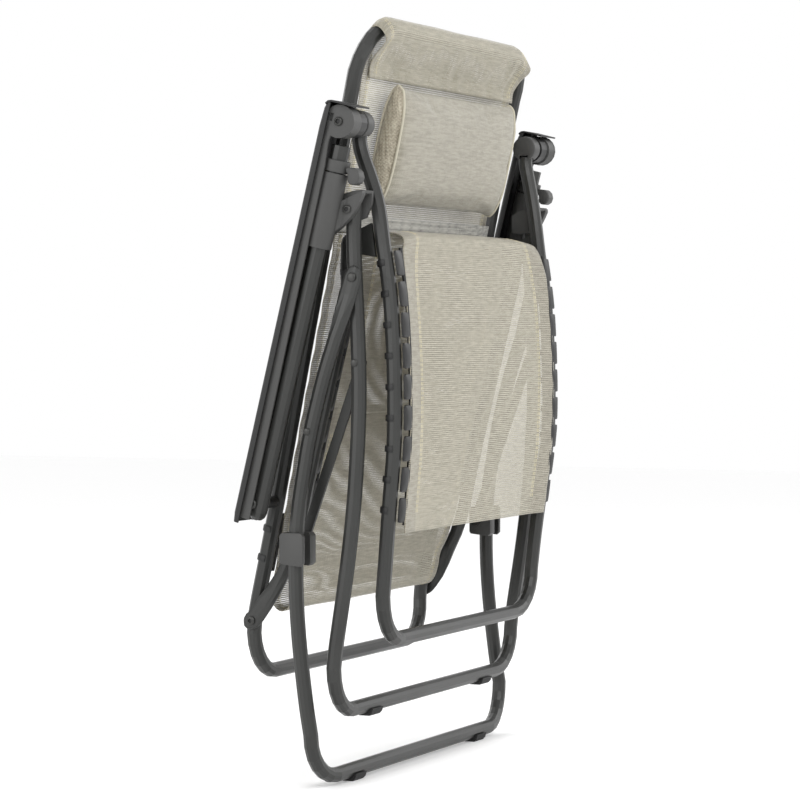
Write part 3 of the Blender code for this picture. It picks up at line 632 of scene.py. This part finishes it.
sleeve = tubeR + backSling["sleeveGap"]
flapY = panelY("back_fabric", barTop - 0.064)
backPoints = [(flapY - 0.0060, barTop - 0.066, 0.238), (flapY - 0.0085, barTop - 0.045, 0.240),
              (barY - sleeve, barTop - 0.012, 0.243), (barY - sleeve * 0.9, barTop + 0.004, 0.243),
              (barY, barTop + sleeve, 0.243), (barY + sleeve * 0.9, barTop + 0.004, 0.243),
              (barY + sleeve, barTop - 0.012, 0.243)]
for z, half in ((0.915, 0.243), (0.88, 0.245), (0.80, 0.243), (0.70, 0.241), (0.60, 0.240), (0.50, 0.240),
                (0.40, 0.240), (0.33, 0.238), (0.28, 0.236)):
    backPoints.append((panelY("back_fabric", z) + 0.001, z, half))
hipY = panelY("seat_fabric", 0.25)
backPoints += [(panelY("back_fabric", 0.25) + 0.002, 0.245, 0.234),
               (hipY + 0.0260, 0.226, 0.232), (hipY + 0.0140, 0.2170, 0.231), (hipY + 0.0020, 0.227, 0.232)]
for z, half in ((0.26, 0.238), (0.30, 0.243), (0.36, 0.2455), (0.43, 0.2455), (0.48, 0.2455)):
    backPoints.append((panelY("seat_fabric", z), z, half))
slingBack, backRun, backTotal = slingSheet("sling_back", backPoints, 300, [materials["sling_mesh"], hemMesh],
                                          backSling["thick"], backShape, backSling["hem"])
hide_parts("back_fabric", "seat_fabric")
hipStart = Vector((0, panelY("back_fabric", 0.26) - 0.003, 0.235))
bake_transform(slingBack)
backThread = stitches("sling_back_stitching", backRun, backTotal, backSling["stitches"], backShape, thread,
                      0.0, 0.98)
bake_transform(backThread)

calfTop = extent("calf_fabric")[1].z
kneeZ = calfTop + 0.004


calfSling = {"flatWidth": 0.492, "thick": 0.0014, "hem": 0.19, "stitches": (0.0420, 0.0470), "ripple": 0.0006,
             "bow": -0.0022, "edgeBand": 0.045, "edgeForward": 0.0036, "middleBack": 0.0022}


def calfShape(u, run, total, p, out):
    crown = 0.006 * (abs(u) ** 6) * max(0.0, 1 - abs(p[1] - kneeZ) / 0.02)
    front = 1.0 if p[0] < calfTopY + 0.003 and run > total * 0.4 else 0.0
    front *= max(0.0, min(1.0, (kneeZ - p[1]) / 0.05))
    bow = calfSling["bow"] * (1 - u * u) * max(0.0, min(1.0, (kneeZ - p[1]) / 0.06))
    edge = max(0.0, 1 - (1 - abs(u)) * p[2] / calfSling["edgeBand"])
    slope = (calfSling["middleBack"] * (1 - edge) - calfSling["edgeForward"] * edge) * front
    wave = ripple(u, run, calfSling["ripple"])
    return out * wave + Vector((0, bow + slope, -crown))


seatTopY, calfTopY = panelY("seat_fabric", 0.67), panelY("calf_fabric", 0.675)
calfPoints = []
for z, half in ((0.47, 0.2450), (0.52, 0.2450), (0.58, 0.2450), (0.63, 0.2440), (0.665, 0.2380)):
    calfPoints.append((panelY("seat_fabric", z), z, half))
for t, half in ((0.12, 0.2260), (0.3, 0.2160), (0.5, 0.2130), (0.7, 0.2170), (0.88, 0.2270)):
    calfPoints.append((seatTopY + (calfTopY - seatTopY) * (0.5 - 0.5 * math.cos(math.pi * t)),
                       kneeZ - 0.006 + 0.015 * math.sin(math.pi * t), half))
for z, half in ((0.668, 0.2385), (0.63, 0.2445), (0.57, 0.2460), (0.50, 0.2460), (0.43, 0.2450), (0.38, 0.2430),
                (0.345, 0.2410)):
    calfPoints.append((panelY("calf_fabric", z) - 0.0005, z, half))
endY, endZ = panelY("calf_fabric", 0.335), extent("calf_fabric")[0].z
calfPoints += [(endY, endZ + 0.006, 0.2395), (endY + 0.0005, endZ - 0.002, 0.2385)]
slingCalf, calfRun, calfTotal = slingSheet("sling_calf", calfPoints, 190, [materials["sling_mesh"], hemMesh],
                                          calfSling["thick"], calfShape, calfSling["hem"])
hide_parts("calf_fabric")
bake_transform(slingCalf)
calfThread = stitches("sling_calf_stitching", calfRun, calfTotal, calfSling["stitches"], calfShape, thread,
                      0.02, 0.99)
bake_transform(calfThread)
print("sling")


pillowSize = {"columns": 26, "around": 28, "voxel": 0.0055, "pressure": 4, "cap": 0.006, "fill": 0.55,
              "gusset": 0.0085, "piping": 0.0018}


def pillowShape():
    low, high = extent("pillow")
    bm = bmesh.new()
    columns, around = pillowSize["columns"], pillowSize["around"]
    rings = []
    half = (high.x - low.x) / 2 - 0.006
    for i in range(columns + 1):
        x = -half + 2 * half * i / columns
        fill = 0.60 + 0.34 * (1 - abs(x / half) ** 8)
        ring = []
        for k in range(around):
            t = 2 * math.pi * k / around
            rise = math.copysign(abs(math.sin(t)) ** 0.9, math.sin(t))
            z = (low.z + high.z) / 2 + (high.z - low.z) * 0.465 * rise
            base = panelY("back_fabric", min(z, 0.93))
            y = base - 0.0240 + 0.0175 * fill * math.cos(t)
            ring.append(bm.verts.new((x, y, z)))
        rings.append(ring)
    for a, b in zip(rings[:-1], rings[1:]):
        for k in range(around):
            bm.faces.new((a[k], a[(k + 1) % around], b[(k + 1) % around], b[k]))
    bm.faces.new(rings[0][::-1])
    bm.faces.new(rings[-1])
    bmesh.ops.recalc_face_normals(bm, faces=bm.faces)
    return fromBm("head_pillow", bm, [materials["pillow_cloth"]], 80)


def inflate(piece, voxel, pressure, cap):
    # Swells a closed mesh with cloth and limits how far a point moves.
    mesher = piece.modifiers.new("even", "REMESH")
    mesher.mode = "VOXEL"
    mesher.voxel_size = voxel
    applied(piece)
    start = [v.co.copy() for v in piece.data.vertices]
    cloth = piece.modifiers.new("cloth", "CLOTH")
    cloth.settings.quality = 4
    cloth.settings.use_pressure = True
    cloth.settings.uniform_pressure_force = pressure
    cloth.settings.effector_weights.gravity = 0
    cloth.settings.tension_stiffness = 12
    cloth.settings.bending_stiffness = 0.4
    cloth.point_cache.frame_start = 1
    cloth.point_cache.frame_end = 20
    for step in range(1, 21):
        bpy.context.scene.frame_set(step)
    applied(piece)
    bpy.context.scene.frame_set(1)
    for v, was in zip(piece.data.vertices, start):
        move = v.co - was
        if move.length > cap:
            v.co = was + move.normalized() * cap
    finer = piece.modifiers.new("finer", "SUBSURF")
    finer.levels = finer.render_levels = 1
    applied(piece)
    return piece


pillow = pillowShape()
bpy.context.view_layer.update()
inflate(pillow, pillowSize["voxel"], pillowSize["pressure"], pillowSize["cap"])
low, high = extent("pillow")
gussetX = max(v.co.x for v in pillow.data.vertices) - pillowSize["gusset"]
pillow.data.materials.clear()
pillow.data.materials.append(materials["pillow_cloth"])
pillow.data.materials.append(gussetMesh)
for face in pillow.data.polygons:
    if abs(face.center.x) > gussetX:
        face.material_index = 1
pillow.data.shade_smooth()
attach(pillow, "pillow")
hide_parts("pillow")


def rimPoints(x, count=44):
    # Outline of the pillow near x, as points round it.
    near = [v.co for v in pillow.data.vertices if abs(v.co.x - x) < 0.004]
    cy = (min(v.y for v in near) + max(v.y for v in near)) / 2
    cz = (min(v.z for v in near) + max(v.z for v in near)) / 2
    found = []
    for k in range(count):
        t = 2 * math.pi * k / count
        way = Vector((math.cos(t) * 0.22, math.sin(t)))
        best = max(near, key=lambda v: (v.y - cy) * way.x * 4 + (v.z - cz) * way.y)
        found.append(Vector((x, best.y, best.z)))
    return found


def tubeAlong(name, points, radius, finish):
    curve = bpy.data.curves.new(name, "CURVE")
    curve.dimensions = "3D"
    curve.bevel_depth = radius
    curve.bevel_resolution = 3
    spline = curve.splines.new("NURBS")
    spline.points.add(len(points) - 1)
    for slot, p in zip(spline.points, points):
        slot.co = (*p, 1)
    spline.use_cyclic_u = True
    spline.order_u = 4
    curve.materials.append(finish)
    made = bpy.data.objects.new(name, curve)
    bpy.context.scene.collection.objects.link(made)
    return made


for word, side in sides:
    cord = tubeAlong(f"pillow_piping_{word}", rimPoints(side * gussetX), pillowSize["piping"], piping)
    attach(cord, "pillow")


bandSize = {"below": 0.014, "half": 0.2460, "depth": 0.0050, "tall": 0.022, "thick": 0.0012,
            "flatLength": 0.985}


def bandLoop():
    # Elastic band that holds the pillow, round the back fabric just below it.
    z = low.z - bandSize["below"]
    y = panelY("back_fabric", z)
    half, depth, tall = bandSize["half"], bandSize["depth"], bandSize["tall"]
    loop = []
    for k in range(96):
        t = 2 * math.pi * k / 96
        c, s = math.cos(t), math.sin(t)
        loop.append(Vector((half * math.copysign(abs(c) ** 0.25, c),
                            y + 0.0005 - depth * math.copysign(abs(s) ** 0.5, s), z)))
    bm = bmesh.new()
    uvLayer = bm.loops.layers.uv.new("weave")
    slope = (panelY("back_fabric", z + 0.01) - panelY("back_fabric", z - 0.01)) / 0.02
    rows = []
    for j in range(7):
        h = (j / 6 - 0.5) * tall
        rows.append([bm.verts.new(p + Vector((0, slope * h, h))) for p in loop])
    for j in range(6):
        for k in range(96):
            q = (k + 1) % 96
            face = bm.faces.new((rows[j][k], rows[j][q], rows[j + 1][q], rows[j + 1][k]))
            for loopCorner, (a, b) in zip(face.loops, ((k, j), (k + 1, j), (k + 1, j + 1), (k, j + 1))):
                loopCorner[uvLayer].uv = (a * 0.0103, b * tall / 6)
    piece = fromBm("pillow_band", bm, [bandCloth], 80)
    skin = piece.modifiers.new("thickness", "SOLIDIFY")
    skin.thickness = bandSize["thick"]
    applied(piece)
    return piece


band = bandLoop()
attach(band, "pillow")
print("pillow")


# where each lamp stands, what height it points at, its width and its power
lamps = {"key": ((-2.6, -2.4, 2.6), 0.5, 2.4, 62), "fill": ((-3.4, 1.4, 1.4), 0.5, 2.0, 34),
         "rim": ((2.2, -2.0, 1.8), 0.6, 1.6, 26), "back": ((1.5, 2.6, 2.2), 0.5, 2.0, 22)}


def area(name, place, height, width, power):
    lamp = bpy.data.lights.new(name, "AREA")
    lamp.shape = "RECTANGLE"
    lamp.size = lamp.size_y = width
    lamp.energy = power
    made = bpy.data.objects.new(name, lamp)
    made.location = place
    made.rotation_euler = (Vector((0, 0, height)) - Vector(place)).to_track_quat("-Z", "Y").to_euler()
    bpy.context.scene.collection.objects.link(made)


bm = bmesh.new()
bmesh.ops.create_grid(bm, x_segments=2, y_segments=2, size=8)
floorFinish, tree, shader = newMaterial("paleFloor")
shader.inputs["Base Color"].default_value = (0.97, 0.97, 0.97, 1)
shader.inputs["Roughness"].default_value = 0.9
floor = fromBm("floor", bm, [floorFinish])

world = bpy.data.worlds.new("studio")
world.use_nodes = True
world.node_tree.nodes["Background"].inputs["Color"].default_value = (1, 1, 1, 1)
world.node_tree.nodes["Background"].inputs["Strength"].default_value = 1.0
bpy.context.scene.world = world
bpy.context.scene.view_settings.view_transform = "Standard"
for name, lamp in lamps.items():
    area(name, *lamp)

lens = bpy.data.cameras.new("camera")
lens.lens = 133.8
lens.sensor_width = 36
lens.clip_end = 60
camera = bpy.data.objects.new("camera", lens)
camera.location = (-3.6547, -1.63669, 0.5805)
camera.rotation_euler = (math.pi / 2 - 0.024, 0, -1.1463)
bpy.context.scene.collection.objects.link(camera)
bpy.context.scene.camera = camera
print("stage")

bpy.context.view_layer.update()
